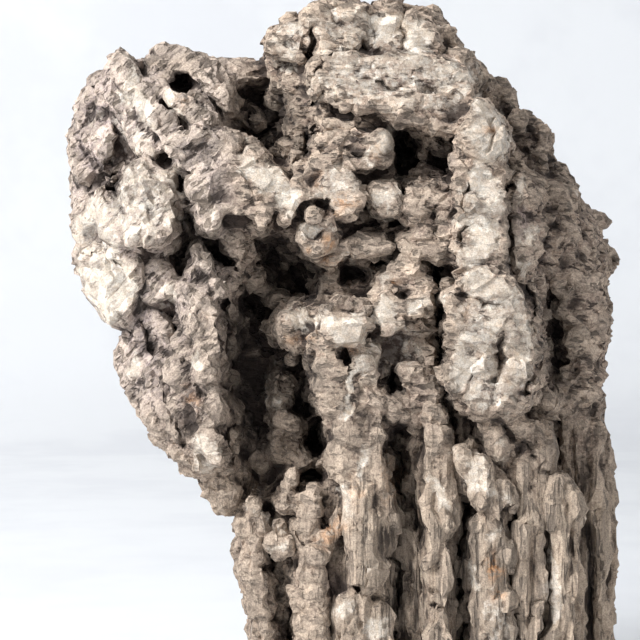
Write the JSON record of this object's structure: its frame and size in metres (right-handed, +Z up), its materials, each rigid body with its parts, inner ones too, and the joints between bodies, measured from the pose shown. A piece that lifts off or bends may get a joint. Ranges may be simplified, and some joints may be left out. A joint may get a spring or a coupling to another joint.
{
  "type": "scholar's rock",
  "caption": "Weathered, quartz-veined limestone scholar's rock: an overhanging head and a fluted trunk, pitted by caves and slots, sawn flat to stand.",
  "frame": {"origin": "on the sawn foot, where the rock stands, about below the middle of its width", "axes": "+Z up, -Y towards the viewer of the carved front, +X to that viewer's right"},
  "size_m": [0.2385, 0.1587, 0.3271],
  "materials": {
    "stone": "rough grey-beige crust with pale, slightly waxy quartz, brown stains and dark crevices"
  },
  "bodies": {
    "root": {"rock": "stone"}
  },
  "joints": []
}
